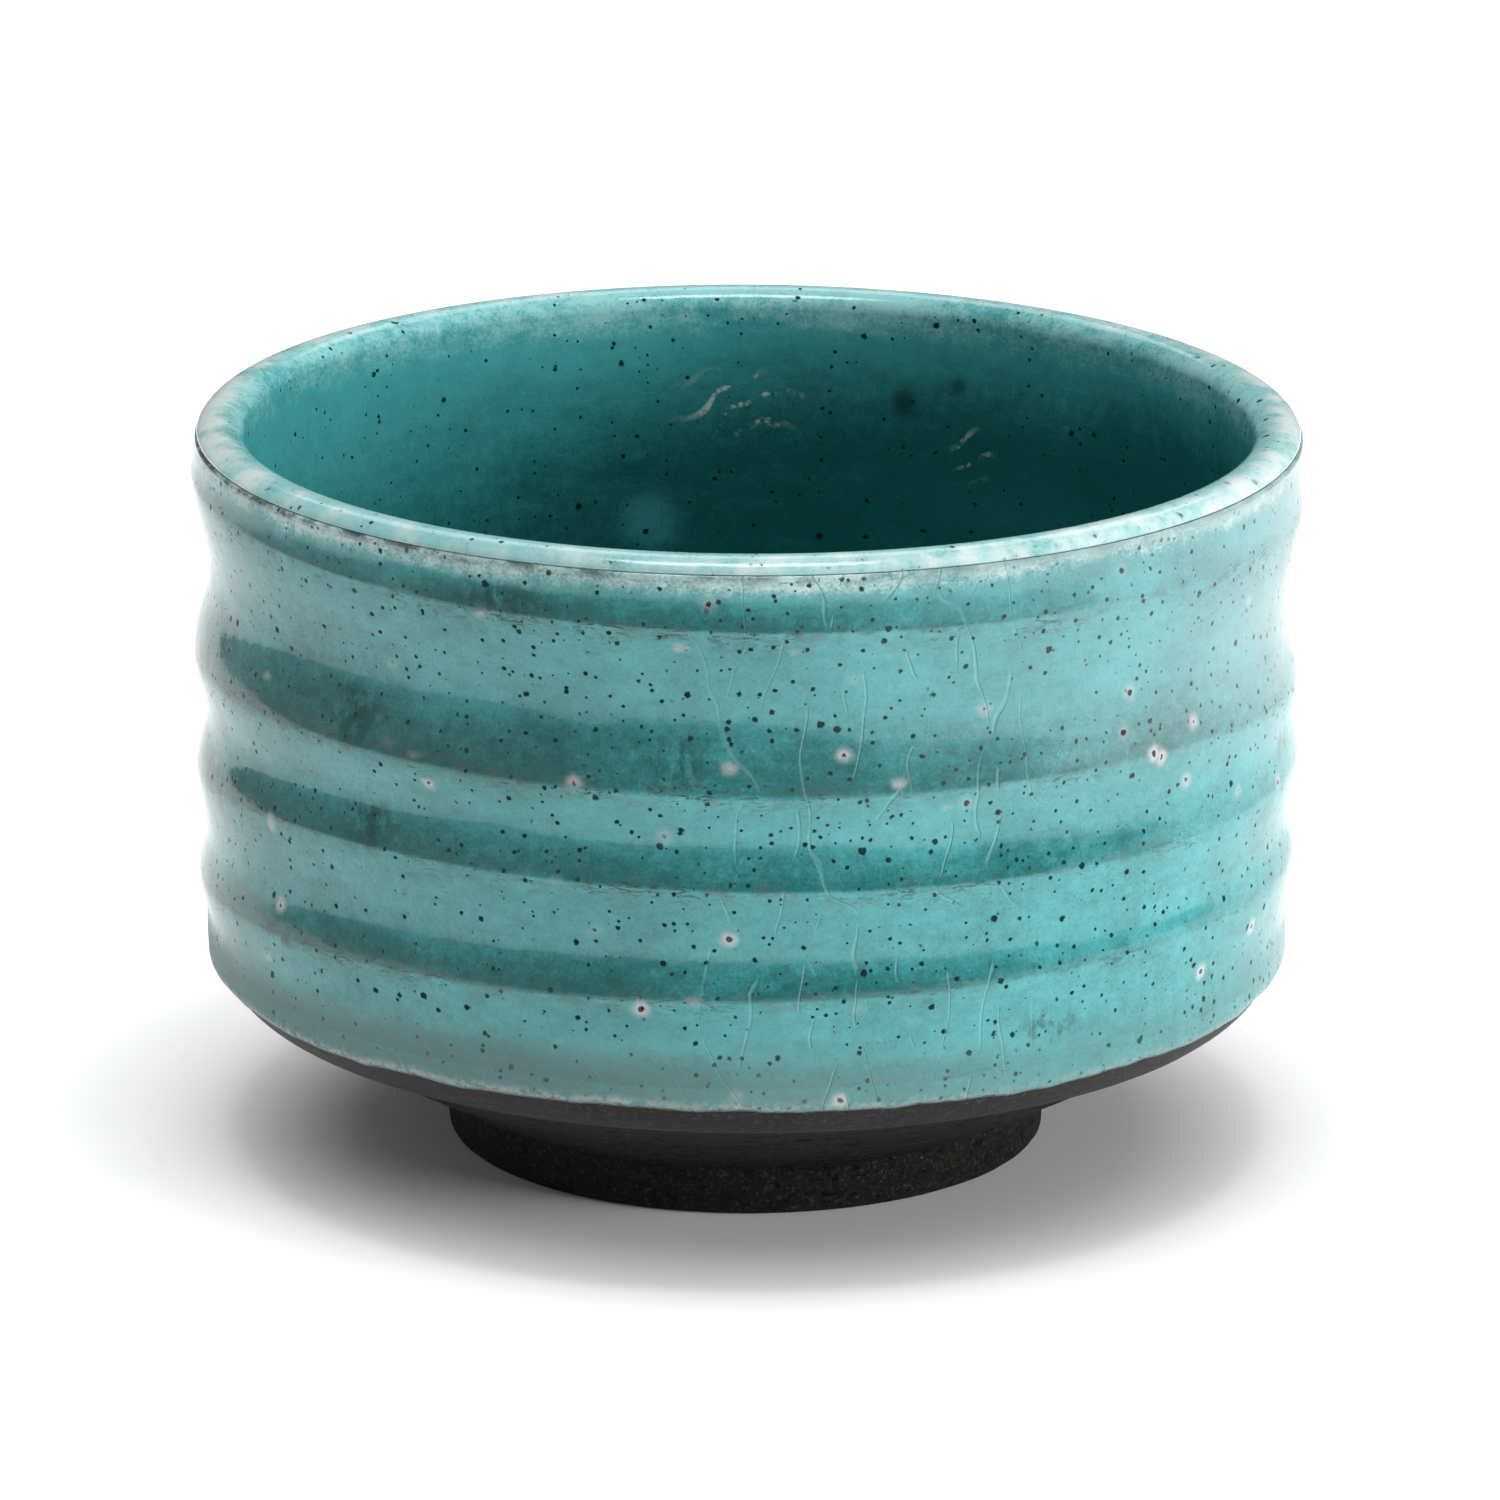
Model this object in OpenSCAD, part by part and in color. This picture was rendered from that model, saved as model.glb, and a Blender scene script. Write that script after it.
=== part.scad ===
// Matcha bowl (chawan): a straight-sided thrown bowl of dark stoneware on a low foot ring, under
// two coats of glaze. One coat is poured inside and laps over the lip. The other covers the
// outside and stops on the turn above the foot. Every solid is turned about the Z axis, the foot
// stands on Z = 0, and outlines are [radius, height] points in the XZ half plane.

/* [Bowl] */
// Largest radius of the bowl, over the glaze of the lip's shoulder
bowl_r = 60; // [50:0.5:72]
// Height from the table to the top of the lip
bowl_h = 80; // [66:0.5:96]

/* [Lip] */
// Clay thickness of the lip
lip_t = 4.2; // [3.5:0.1:6]
// Height of the rounded top of the lip above its centre line
lip_round = 1.6; // [1:0.1:3]
// Height from the lip's shoulder, its widest line, to the top
shoulder_drop = 7.5; // [5:0.1:10]
// How far the lip leans in above its shoulder
lip_lean = 0.3; // [0:0.1:1.5]
// How far over the lip's outer edge the seam between the two coats lies, in degrees
seam_a = 15; // [0:1:40]

/* [Wall] */
// Clay thickness of the wall where it meets the floor
wall_t = 5.2; // [4:0.1:7]
// How far the bottoms of the throwing grooves lie inside the shoulder
wall_in = 1.2; // [0.8:0.1:2.4]
// How far the waist under the lip lies inside the other grooves
waist_in = 0.7; // [0:0.1:1.5]
// Height from the waist to the top of the lip
waist_drop = 18; // [13:0.5:22]
// Number of throwing rings between the waist and the corner
ring_count = 3; // [1:1:5]
// How far a ring stands out from the grooves beside it
ring_depth = 0.9; // [0.3:0.1:1.4]

/* [Floor and corner] */
// Clay thickness of the floor inside the foot ring
floor_t = 6.5; // [5:0.1:9]
// How far the floor dips at its middle, where the last of the tea gathers
floor_dip = 0.8; // [0:0.1:1.5]
// Clay thickness under the sloping part of the floor
base_t = 5; // [4:0.1:7]
// Radius of the turn from the underside to the wall, outside
corner_r = 9; // [6:0.5:12]
// Radius of the turn from the floor to the wall, inside
inner_corner_r = 12; // [8:0.5:16]

/* [Underside] */
// Slope of the underside above the table, in degrees
under_a = 28.7; // [20:0.1:34]
// Width of the smooth raised band that the trimming tool left at the corner
band_w = 1.2; // [0.6:0.1:3]
// Height of that band's step above the trimmed clay
band_step = 0.5; // [0.2:0.1:0.9]

/* [Foot ring] */
// Outer radius of the foot ring
foot_r = 32.8; // [26:0.1:40]
// Width of the ring's wall
foot_w = 6.8; // [5:0.1:10]
// Height of the ring below the underside
foot_h = 5.5; // [4.5:0.1:8]
// Depth of the seat in the underside that the ring is luted into
seat_depth = 0.8; // [0.4:0.1:1.5]
// How far the ring's outer side leans in towards the table
foot_draft = 0.3; // [0:0.1:0.8]
// Radius of the ring's two rubbed-down lower edges
foot_edge_r = 1; // [0.5:0.1:1.6]

/* [Glaze] */
// Thickness of both coats
glaze_t = 0.6; // [0.4:0.05:1]
// How much of the corner's turn is left bare, in degrees
bare_a = 33; // [10:1:45]
// Length over which a coat thins out to its edge
edge_l = 1.6; // [0.8:0.1:2.5]

/* [Hidden] */
$fn = 160;
clay = "#38342f";
turquoise = "#5fa9a5";
deep_turquoise = "#2f7f7d";
// Straight steps that stand for one ring, one flare and one round
ring_steps = 10;
flare_steps = 6;
arc_steps = 8;

// The lip, in clay
shoulder_r = bowl_r - glaze_t;
shoulder_z = bowl_h - shoulder_drop;
lip_r = shoulder_r - lip_lean;
lip_z = bowl_h - glaze_t - lip_round;
lip_mid_r = lip_r - lip_t / 2;
lip_in_r = lip_r - lip_t;

// The wall, in clay
groove_r = shoulder_r - wall_in;
waist_r = groove_r - waist_in;
waist_z = bowl_h - waist_drop;
inner_r = groove_r - wall_t;

// The trimmed underside at radius r, and a line parallel to it that lies d outside it
function under_z(r, d = 0) = foot_h + (r - foot_r) * tan(under_a) - d / cos(under_a);

// The outside corner is an arc tangent to the raised band and to the wall
corner_foot_r = groove_r - corner_r * (1 - sin(under_a));
corner_mid = [groove_r - corner_r, under_z(corner_foot_r, band_step) + corner_r * cos(under_a)];
step_r = corner_foot_r - band_w * cos(under_a);
glaze_a = under_a - 90 + bare_a;

// The inside corner is an arc tangent to the floor's slope and to the wall
inner_foot_r = inner_r - inner_corner_r * (1 - sin(under_a));
inner_mid = [inner_r - inner_corner_r,
             under_z(inner_foot_r, -base_t) + inner_corner_r * cos(under_a)];

// The floor's slope and its dish meet at floor_r, and floor_run eases one into the other
floor_z = foot_h + floor_t;
floor_r = foot_r + (floor_t - base_t / cos(under_a)) / tan(under_a);
floor_run = min(floor_r, inner_foot_r - floor_r) / 2;

// Points a quarter, a half or another part of the way round, from angle a0 to a1
function round_off(mid, rx, rz, a0, a1, n = arc_steps) =
    [for (i = [0 : n]) let (a = a0 + (a1 - a0) * i / n) mid + [rx * cos(a), rz * sin(a)]];

// A value that eases from 0 to 1 as t does
function ease(t) = (1 - cos(180 * t)) / 2;

// The clay's outline in order: underside, corner, rings, waist, lip, inside wall, floor
under_line = [[foot_r, foot_h], [step_r, under_z(step_r)],
              [step_r + band_step * sin(under_a), under_z(step_r) - band_step * cos(under_a)]];
bare_corner = round_off(corner_mid, corner_r, corner_r, under_a - 90, glaze_a);
glazed_corner = round_off(corner_mid, corner_r, corner_r, glaze_a, 0);
ring_steps_up = ring_count * ring_steps;
rings = [for (i = [1 : ring_steps_up])
    let (last = max(0, 2 * (i - ring_steps_up) / ring_steps + 1))
    [groove_r - waist_in * ease(last) + ring_depth * (1 - cos(360 * i / ring_steps)) / 2,
     corner_mid[1] + (waist_z - corner_mid[1]) * i / ring_steps_up]];
flare = [for (i = [1 : flare_steps]) let (t = i / flare_steps)
    [waist_r + (shoulder_r - waist_r) * ease(t), waist_z + (shoulder_z - waist_z) * t]];
lip_face = [for (i = [1 : flare_steps]) let (t = i / flare_steps)
    [shoulder_r - lip_lean * t * t, shoulder_z + (lip_z - shoulder_z) * t]];
lip_edge = round_off([lip_mid_r, lip_z], lip_t / 2, lip_round, 0, seam_a, 3);
lip_top = concat(round_off([lip_mid_r, lip_z], lip_t / 2, lip_round, seam_a, 90),
                 without_first(round_off([lip_mid_r, lip_z], lip_t / 2, lip_round, 90, 180)));
inner_corner = round_off(inner_mid, inner_corner_r, inner_corner_r, 0, under_a - 90);
floor_slope = [for (i = [0 : flare_steps]) let (t = 1 - i / flare_steps)
    [floor_r + floor_run * (2 * t - 1), floor_z + floor_run * tan(under_a) * t * t]];
floor_dish = [for (i = [1 : flare_steps]) let (t = 1 - i / flare_steps)
    [(floor_r - floor_run) * t, floor_z - floor_dip * (1 - t * t)]];
outside = concat(glazed_corner, rings, flare, lip_face, without_first(lip_edge));
inside = concat(lip_top, inner_corner, floor_slope, floor_dish);

// The distance run along an outline at each of its points, and the outward normal there
function runs(p, i = 0, run = 0) =
    i == len(p) ? [] : concat([run], runs(p, i + 1, run + norm(p[min(i + 1, len(p) - 1)] - p[i])));
function normal(p, i) =
    let (d = p[min(i + 1, len(p) - 1)] - p[max(i - 1, 0)]) [d[1], -d[0]] / norm(d);

// A coat's outer face: a full coat away from the clay, rounding down to nothing over edge_l
function thinned(run) = run >= edge_l ? glaze_t : glaze_t * sqrt(1 - pow(1 - run / edge_l, 2));
function coat_face(p, two_edges) = let (run = runs(p), end = len(p) - 1)
    [for (i = [1 : end - 1])
        p[i] + normal(p, i) * min(thinned(run[i]), two_edges ? thinned(run[end] - run[i]) : glaze_t)];

function reversed(p) = [for (i = [len(p) - 1 : -1 : 0]) p[i]];
function without_ends(p) = [for (i = [1 : len(p) - 2]) p[i]];
function without_first(p) = [for (i = [1 : len(p) - 1]) p[i]];

module turned(outline) {
    rotate_extrude() polygon(outline);
}

// The thrown and trimmed body: underside, wall, lip and floor, with the seat for the foot ring
module clay_body() {
    seat_z = foot_h + seat_depth;
    seat_r = foot_r - foot_w;
    color(clay)
    turned(concat([[0, foot_h], [seat_r, foot_h], [seat_r, seat_z], [foot_r, seat_z]],
        under_line, bare_corner, without_ends(outside), inside));
}

// The foot ring, which stands in its seat and has its lower edges rubbed down
module foot_ring() {
    hole_r = foot_r - foot_w;
    rest_r = foot_r - foot_draft;
    top_z = foot_h + seat_depth;
    color(clay)
    turned(concat(
        [[hole_r, top_z]],
        round_off([hole_r + foot_edge_r, foot_edge_r], foot_edge_r, foot_edge_r, 180, 270),
        round_off([rest_r - foot_edge_r, foot_edge_r], foot_edge_r, foot_edge_r, 270, 360),
        [[foot_r, foot_h], [foot_r, top_z]]));
}

// The outside coat, from the bare corner up to the seam just over the lip's outer edge
module outer_glaze() {
    color(turquoise)
    turned(concat(coat_face(outside, true), reversed(outside)));
}

// The inside coat, from that seam over the lip, down the wall and across the whole floor
module inner_glaze() {
    centre = [0, floor_z - floor_dip + glaze_t];
    color(deep_turquoise)
    turned(concat(coat_face(inside, false), [centre], reversed(inside)));
}

clay_body();
foot_ring();
outer_glaze();
inner_glaze();
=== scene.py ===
import math
import bpy
import numpy as np
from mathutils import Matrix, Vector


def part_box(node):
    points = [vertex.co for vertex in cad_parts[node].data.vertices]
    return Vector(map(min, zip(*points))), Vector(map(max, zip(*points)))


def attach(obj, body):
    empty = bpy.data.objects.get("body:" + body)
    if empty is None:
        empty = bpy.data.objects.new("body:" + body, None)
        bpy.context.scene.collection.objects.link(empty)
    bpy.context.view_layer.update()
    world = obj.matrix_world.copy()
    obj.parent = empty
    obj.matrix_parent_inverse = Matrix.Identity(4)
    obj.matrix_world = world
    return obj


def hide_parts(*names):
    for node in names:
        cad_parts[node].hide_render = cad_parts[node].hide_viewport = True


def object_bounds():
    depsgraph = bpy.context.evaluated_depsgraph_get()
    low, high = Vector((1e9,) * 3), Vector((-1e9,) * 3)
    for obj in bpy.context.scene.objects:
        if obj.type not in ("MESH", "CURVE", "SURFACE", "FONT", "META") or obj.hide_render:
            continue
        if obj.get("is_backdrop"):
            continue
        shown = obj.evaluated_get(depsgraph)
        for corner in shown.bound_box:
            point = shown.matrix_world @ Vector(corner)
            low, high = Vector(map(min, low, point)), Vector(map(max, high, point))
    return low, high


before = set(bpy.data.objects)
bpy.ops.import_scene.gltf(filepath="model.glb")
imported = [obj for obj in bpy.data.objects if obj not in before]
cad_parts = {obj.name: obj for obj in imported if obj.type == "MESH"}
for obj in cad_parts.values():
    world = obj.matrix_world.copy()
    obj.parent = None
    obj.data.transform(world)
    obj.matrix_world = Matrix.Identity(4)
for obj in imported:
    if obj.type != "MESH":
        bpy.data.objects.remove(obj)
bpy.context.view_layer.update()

# ------------------------------------------------------------------------------ the clay body
# A straight-sided bowl of dark, iron-rich stoneware. It is thrown on the wheel, which leaves the
# potter's finger rings round the wall, and its underside is trimmed to a cone when leather-hard.

MM = 0.001
TURNS = 420
FOOT_WALL = 6.8 * MM
turn = np.linspace(0, 2 * math.pi, TURNS, endpoint=False)[None, :]

lip_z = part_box("inner_glaze")[1].z
bowl_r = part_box("outer_glaze")[1].x
glaze_t = lip_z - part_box("clay_body")[1].z
foot_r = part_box("foot_ring")[1].x
foot_hole_r = foot_r - FOOT_WALL
foot_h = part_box("clay_body")[0].z
seat_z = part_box("foot_ring")[1].z
floor_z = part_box("inner_glaze")[0].z
glaze_line_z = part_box("outer_glaze")[0].z

UNDER_SLOPE = math.radians(28.7)
STEP_R = 53.9 * MM
STEP_H = 0.6 * MM
CORNER_R = 51.2 * MM
CORNER_Z = 22.8 * MM
CORNER_ROUND = 6.9 * MM
LIP_HALF = 2.1 * MM
LIP_LIFT = 2.2 * MM - glaze_t
LIP_MID_Z = 77.8 * MM
LIP_SET_IN = 0.35 * MM
FLOOR_CLAY = 5.7 * MM
SEAM = math.radians(17)
WALL_IN_R = 52.9 * MM
FLOOR_ROUND = 12 * MM


def around(*values):
    """A value that changes smoothly round the bowl. The values given stand at even angles, from the
    front to the right and on round, and a closed Catmull-Rom cubic passes through all of them."""
    v = np.array(values, float)
    at = turn / (2 * math.pi) * len(v)
    i = np.floor(at).astype(int)
    t = at - i
    a, b, c, d = (v[(i + k) % len(v)] for k in (-1, 0, 1, 2))
    return b + t / 2 * (c - a + t * (2 * a - 5 * b + 4 * c - d + t * (3 * (b - c) + d - a)))


def lumps(along, round_count, pitch, seed):
    """Soft hills and hollows from -1 to 1. Random heights stand at round_count even angles and at
    every pitch along the outline, and each eases into the next both ways."""
    table = np.random.default_rng(seed).uniform(-1, 1, (512, round_count))
    u = turn / (2 * math.pi) * round_count + 0 * along
    v = along / pitch + 64
    i, j = np.floor(v).astype(int), np.floor(u).astype(int)
    s, t = v - i, u - j
    s, t = s * s * (3 - 2 * s), t * t * (3 - 2 * t)
    low = table[i % 512, j % round_count] * (1 - t) + table[i % 512, (j + 1) % round_count] * t
    high = (table[(i + 1) % 512, j % round_count] * (1 - t)
            + table[(i + 1) % 512, (j + 1) % round_count] * t)
    return low * (1 - s) + high * s


# The wall's grooves and ridges from the corner to the lip: heights and how far inside the bowl's
# largest radius the glazed surface lies, both in millimetres, then how rounded the ridge below is
wall_marks = [
    (around(26.8, 26.2, 25.5, 25, 25, 24.8, 25, 26.4), around(1.5, 1.6, 1.6, 1.3), around(1)),
    (around(32.4, 33, 33, 32, 31, 30, 29.6, 31.5), around(0.6, 0.6, 0.6, 0.5), around(0)),
    (around(37.6, 37, 37, 36.5, 36, 35, 34, 37), around(1.4, 1.15, 1.2, 1.1, 1.2, 1.2, 1.25, 1.6),
     around(0.55, 0.8, 1, 0.5, 0.5, 0.5, 0.8, 0.6)),
    (around(44.4, 43.7, 44, 43, 42, 41, 41.5, 44.5), around(0.25, 0.2, 0.1, 0.2, 0.4, 0.4, 0.3, 0.2),
     around(0)),
    (around(50.0, 49.3, 48.2, 48.5, 48, 47.5, 47.2, 49.7),
     around(1.35, 0.85, 0.6, 0.8, 1.0, 1.1, 1.35, 1.65), around(0.1, 0.3, 0.6, 0.4, 0.4, 0.5, 0.8, 0.4)),
    (around(54.4, 53.9, 52, 53, 53.5, 54, 54.3, 55.0), around(0.25, 0.4, 0.3, 0.05), around(0)),
    (around(63.3, 62, 59.8, 61.5, 63, 63.5, 63.5, 63.4),
     around(1.95, 1.3, 1.15, 1.6, 2, 2, 1.9, 1.85, 1.8, 1.8, 1.8, 1.85, 1.9, 2.1, 2.2, 2.1),
     around(0, 0.1, 0.4, 0.4, 0.4, 0.6, 0.9, 0.45)),
    (around(72.3, 71.7, 71.3, 72, 73, 74, 74.5, 73.4), around(0, 0, 0, 0), around(0)),
    (around(76.6, 76.4, 76.4, 76.6, 76.8, 76.8, 76.8, 76.8),
     around(0.55, 0.4, 0.4, 0.4, 0.4, 0.4, 0.25, 0.35), around(0.2)),
    (around(LIP_MID_Z / MM), around(LIP_SET_IN / MM), around(0)),
]


def under_height(r):
    """The trimmed cone of the underside: a straight slope up and out from the foot ring."""
    return foot_h + (r - foot_r) * math.tan(UNDER_SLOPE)


def clay_wall(steps):
    """The outside of the clay from the glaze line to the seam on the lip, with how low each point is
    on a ridge's upper side and how near it is to the ridge itself, both from 0 to 1. The corner is
    an arc. Up to a ridge the wall swings out in half a cosine wave that steepens. Above it, it leans
    in along a power curve, which makes the ridge an edge, or another half wave, which rounds it.
    The lip is the outer part of an ellipse."""
    first = np.arcsin((glaze_line_z + glaze_edge - CORNER_Z) / CORNER_ROUND)
    t = np.linspace(0, 1, 2 * steps)[:, None] ** 1.3
    angle = first * (1 - t)
    r = [CORNER_R + CORNER_ROUND * np.cos(angle)]
    z = [CORNER_Z + CORNER_ROUND * np.sin(angle)]
    ledge = [0 * angle]
    crest = [0 * angle]
    low_r, low_z = r[0][-1:], z[0][-1:]
    for place, (height, inside, rounded) in enumerate(wall_marks):
        t = np.linspace(0, 1, steps + 1)[1:, None]
        high_r, high_z = bowl_r - glaze_t - inside * MM, height * MM
        wave = 0.5 * (1 - np.cos(math.pi * t))
        if place % 2 == 1:
            rise = 0.6 * wave + 0.4 * (1 - np.cos(math.pi / 2 * t))
            ledge.append(0 * t + 0 * height)
            crest.append(t ** 6 + 0 * height)
        else:
            rise = rounded * wave + (1 - rounded) * (1 - (1 - t) ** 1.5)
            ledge.append((1 - t) ** 0.7 + 0 * height)
            crest.append((1 - t) ** 5 + 0 * height)
        r.append(low_r + (high_r - low_r) * rise)
        z.append(low_z + (high_z - low_z) * t)
        low_r, low_z = high_r, high_z
    angle = np.linspace(0, SEAM, steps + 1)[1:, None]
    r.append(low_r - LIP_HALF * (1 - np.cos(angle)))
    z.append(low_z + LIP_LIFT * np.sin(angle))
    ledge.append(0 * angle + 0 * low_r)
    crest.append(0 * angle + 0 * low_r)
    r, z, ledge, crest = (np.concatenate([b + 0 * turn for b in a]) for a in (r, z, ledge, crest))
    wobble = 0.14 * MM * lumps(z, 9, 9 * MM, 3) + 0.05 * MM * lumps(z, 40, 3 * MM, 4)
    return r + wobble * np.clip((lip_z - z) / (6 * MM), 0, 1), z, ledge, crest


def clay_inside(steps):
    """The clay from the seam over the lip and down to the middle of the floor: the rest of the
    lip's ellipse, a nearly straight wall, an arc, the floor's slope and its shallow dish."""
    edge_r = bowl_r - glaze_t - LIP_SET_IN
    angle = np.linspace(SEAM, math.pi, 5 * steps)[:, None]
    r = [edge_r - LIP_HALF * (1 - np.cos(angle)) + 0 * turn]
    z = [LIP_MID_Z + LIP_LIFT * np.sin(angle) + 0 * turn]
    in_r = edge_r - 2 * LIP_HALF
    arc_low = math.pi / 2 - UNDER_SLOPE
    mid_r = WALL_IN_R - FLOOR_ROUND
    foot_of_arc = mid_r + FLOOR_ROUND * math.sin(UNDER_SLOPE)
    mid_z = under_height(foot_of_arc) + FLOOR_CLAY + FLOOR_ROUND * math.cos(UNDER_SLOPE)
    t = np.linspace(0, 1, 6 * steps)[1:, None]
    r.append(in_r + (WALL_IN_R - in_r) * t + 0 * turn)
    z.append(LIP_MID_Z + (mid_z - LIP_MID_Z) * t + 0 * turn)
    angle = np.linspace(0, arc_low, 4 * steps)[1:, None]
    r.append(mid_r + FLOOR_ROUND * np.cos(angle) + 0 * turn)
    z.append(mid_z - FLOOR_ROUND * np.sin(angle) + 0 * turn)
    r_end = r[-1][-1, 0]
    z_end = z[-1][-1, 0]
    t = np.linspace(1, 0, 8 * steps)[1:, None]
    r.append(r_end * t + 0 * turn)
    z.append(floor_z + (z_end - floor_z) * t ** 2.6 + 0 * turn)
    r, z = np.concatenate(r), np.concatenate(z)
    depth = np.clip((lip_z - z) / (10 * MM), 0, 1)
    soft = 0.2 * MM * lumps(z, 5, 14 * MM, 8) + 0.1 * MM * lumps(z, 13, 6 * MM, 9)
    return r + soft * depth * np.clip(r / (20 * MM), 0, 1), z


def turned_solid(name, r, z, hoop=False, **marks):
    """A closed turned solid. Row i of r and z is one point of the outline, all the way round:
    x = r sin(turn) and y = -r cos(turn). Quads join each row to the next. A hoop's last row joins
    its first; any other outline starts and ends on the axis, each time in a single point. Marks
    are values kept at every point for the finish to read."""
    rows = r.shape[0]
    xyz = np.stack([r * np.sin(turn), -r * np.cos(turn), z], axis=-1)
    i, j = np.meshgrid(np.arange(rows if hoop else rows - 1), np.arange(TURNS), indexing="ij")
    k, m = (i + 1) % rows, (j + 1) % TURNS
    quads = np.stack([i * TURNS + j, i * TURNS + m, k * TURNS + m, k * TURNS + j], axis=-1)
    points = xyz.reshape(-1, 3)
    if hoop:
        faces = quads.reshape(-1, 4).tolist()
        keep = np.arange(len(points))
    else:
        inner = quads[1:-1].reshape(-1, 4) - TURNS + 1
        ring = np.arange(TURNS)
        following = (ring + 1) % TURNS
        last = (rows - 2) * TURNS + 1
        first_fan = np.stack([0 * ring, following + 1, ring + 1], axis=-1)
        last_fan = np.stack([last - TURNS + ring, last - TURNS + following, 0 * ring + last], axis=-1)
        faces = first_fan.tolist() + inner.tolist() + last_fan.tolist()
        keep = np.concatenate([[0], np.arange(TURNS, (rows - 1) * TURNS), [(rows - 1) * TURNS]])
    mesh = bpy.data.meshes.new(name)
    mesh.from_pydata(points[keep].tolist(), [], faces)
    mesh.shade_smooth()
    for mark, values in marks.items():
        layer = mesh.attributes.new(mark, "FLOAT", "POINT")
        layer.data.foreach_set("value", (values + 0 * r).reshape(-1)[keep].astype(np.float32))
    piece = bpy.data.objects.new(name, mesh)
    bpy.context.scene.collection.objects.link(piece)
    return piece


def offset(r, z, thickness):
    """Moves an outline out of the clay by a thickness, at right angles to its own run."""
    dr, dz = np.gradient(r, axis=0), np.gradient(z, axis=0)
    length = np.hypot(dr, dz) + 1e-9
    return r + thickness * dz / length, z - thickness * dr / length


def blots(r, z, *places):
    """Soft round patches of strength 1: each is given by its angle from the front in degrees and
    its height, then its half width and half height, all three in millimetres."""
    total = 0 * r + 0 * turn
    for angle, height, wide, tall in places:
        aside = r * (np.mod(turn - math.radians(angle) + math.pi, 2 * math.pi) - math.pi)
        far = (aside / (wide * MM)) ** 2 + ((z - height * MM) / (tall * MM)) ** 2
        total = np.maximum(total, np.exp(-far ** 2))
    return total


def run_length(r, z):
    """The distance along the outline from its first row to each row."""
    steps = np.hypot(np.diff(r, axis=0), np.diff(z, axis=0))
    return np.concatenate([np.zeros((1, r.shape[1])), np.cumsum(steps, axis=0)])


# The glaze line wanders up and down a little round the bowl
glaze_edge = (0.30 * lumps(0 * turn, 11, 1, 21) + 0.2 * lumps(0 * turn, 47, 1, 22)
              + 0.14 * lumps(0 * turn, 140, 1, 23)) * MM

# From the middle of the underside to its rim: the hollow inside the foot, the seat, the cone with
# its trimming marks, the small step and the smooth band below the glaze
hollow_r = np.linspace(0, foot_hole_r, 40)[:, None] + 0 * turn
spiral = 0.12 * MM * np.sin(hollow_r / (2.6 * MM) * 2 * math.pi - turn)
spiral *= np.clip(hollow_r / (3 * MM), 0, 1) * np.clip((foot_hole_r - hollow_r) / (2 * MM), 0, 1)
hollow_z = foot_h + spiral
seat_r = np.array([foot_hole_r, foot_r, foot_r])[:, None] + 0 * turn
seat_h = np.array([seat_z, seat_z, foot_h])[:, None] + 0 * turn
cone_r = np.linspace(foot_r, STEP_R, 72)[1:, None] + 0 * turn
tool = 0.10 * lumps(cone_r, 3, 0.9 * MM, 31) + 0.08 * lumps(cone_r, 26, 1.6 * MM, 32)
torn = np.clip(lumps(cone_r, 150, 1.1 * MM, 33) - 0.4, 0, 1) * 0.6
edge_fade = np.clip((cone_r - foot_r) / (0.8 * MM), 0, 1)
edge_fade = edge_fade * np.clip((STEP_R - cone_r) / (0.5 * MM), 0, 1)
cone_z = under_height(cone_r) + (tool + torn) * MM * edge_fade
step_out = np.linspace(0, 1, 5)[1:, None]
step_wander = (0.2 * lumps(0 * turn, 30, 1, 35) + 0.12 * lumps(0 * turn, 110, 1, 37)) * MM
step_r = STEP_R + step_wander * (1 - step_out) + 0.35 * MM * step_out + 0 * turn
step_z = under_height(STEP_R) - STEP_H * np.sin(step_out * math.pi / 2) + 0.2 * MM * step_out
step_z = step_z + 0 * turn
cone_r[-1:] += step_wander
band_from = -math.pi / 2 + UNDER_SLOPE
band_to = np.arcsin((glaze_line_z + glaze_edge - CORNER_Z) / CORNER_ROUND)
band_t = np.linspace(0, 1, 16)[1:, None]
band_angle = band_from + (band_to - band_from) * band_t
band_r = CORNER_R + CORNER_ROUND * np.cos(band_angle)
band_z = CORNER_Z + CORNER_ROUND * np.sin(band_angle)
band_skin = 0.05 * MM * lumps(band_z, 60, 1.2 * MM, 36) * (1 - band_t)
under_r = np.concatenate([hollow_r, seat_r, cone_r, step_r, band_r + band_skin])
under_z = np.concatenate([hollow_z, seat_h, cone_z, step_z, band_z])
trimmed = np.concatenate([1 + 0 * hollow_z, 1 + 0 * seat_h, 1 + 0 * cone_z,
                          0.4 + 0 * step_z, 0 * band_z])

wall_r, wall_z, _, _ = clay_wall(4)
inside_r, inside_z = clay_inside(4)
clay_r = np.concatenate([under_r, wall_r[1:], inside_r[1:]])
clay_z = np.concatenate([under_z, wall_z[1:], inside_z[1:]])
clay_trimmed = np.concatenate([trimmed, 0 * wall_z[1:], 0 * inside_z[1:]])
clay = turned_solid("thrown_clay", clay_r, clay_z, trimmed=clay_trimmed)


def shade(tree, kind, into=None, **settings):
    """Adds a shader node. Into gives its inputs, by name or number; another node's output there
    becomes a link. The settings are the node's own properties."""
    made = tree.nodes.new(kind)
    for key, value in (into or {}).items():
        socket = made.inputs[key]
        if isinstance(value, bpy.types.NodeSocket):
            tree.links.new(value, socket)
        else:
            socket.default_value = value
    for key, value in settings.items():
        setattr(made, key, value)
    return made


def sum_up(tree, how, a, b=0.0, c=0.0, clamp=False):
    """One line of arithmetic in a finish."""
    made = shade(tree, "ShaderNodeMath", {0: a, 1: b, 2: c}, operation=how, use_clamp=clamp)
    return made.outputs[0]


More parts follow.
